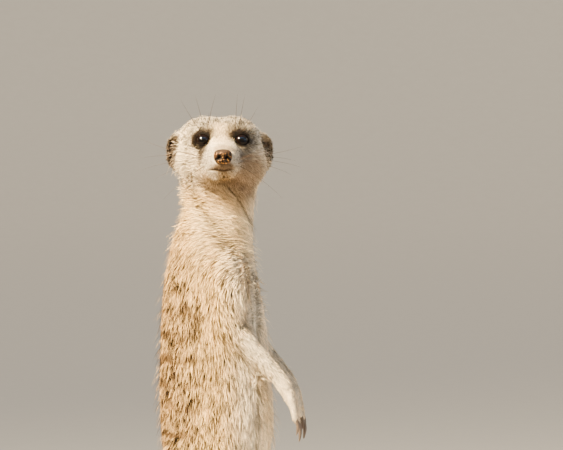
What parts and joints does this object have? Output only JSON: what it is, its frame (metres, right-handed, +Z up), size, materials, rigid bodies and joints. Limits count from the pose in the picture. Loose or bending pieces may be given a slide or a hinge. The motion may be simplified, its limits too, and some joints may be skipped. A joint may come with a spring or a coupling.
{
  "type": "meerkat",
  "caption": "Life-size still meerkat standing upright on its hind feet and propped on its tail, forepaws hanging, head turned to look over its right shoulder.",
  "frame": {"origin": "on the floor, under the centre of the whole model's box", "axes": "+Z up; the trunk's chest faces -Y, the tail runs back along +Y, and +X is the animal's left side; the head is turned to face about -X"},
  "size_m": [0.1034, 0.2604, 0.2999],
  "materials": {
    "coat": "matte fur, cream to sandy, with darker hair tips, dark eye patches, ears and tail tip",
    "nose": "moist dark brown leather",
    "eye": "wet gloss, dark brown iris and black pupil",
    "claw": "satin dark horn"
  },
  "bodies": {
    "root": {"ear_left": "coat", "ear_right": "coat", "eye_left": "eye", "eye_right": "eye", "foot_left": "coat", "foot_right": "coat", "fore_claw_left_1": "claw", "fore_claw_left_2": "claw", "fore_claw_left_3": "claw", "fore_claw_left_4": "claw", "fore_claw_right_1": "claw", "fore_claw_right_2": "claw", "fore_claw_right_3": "claw", "fore_claw_right_4": "claw", "forearm_left": "coat", "forearm_right": "coat", "hand_left": "coat", "hand_right": "coat", "head": "coat", "hind_claw_left_1": "claw", "hind_claw_left_2": "claw", "hind_claw_left_3": "claw", "hind_claw_left_4": "claw", "hind_claw_right_1": "claw", "hind_claw_right_2": "claw", "hind_claw_right_3": "claw", "hind_claw_right_4": "claw", "neck": "coat", "nose": "nose", "shin_left": "coat", "shin_right": "coat", "tail_middle": "coat", "tail_root": "coat", "tail_tip": "coat", "thigh_left": "coat", "thigh_right": "coat", "trunk": "coat", "upper_arm_left": "coat", "upper_arm_right": "coat"}
  },
  "joints": []
}
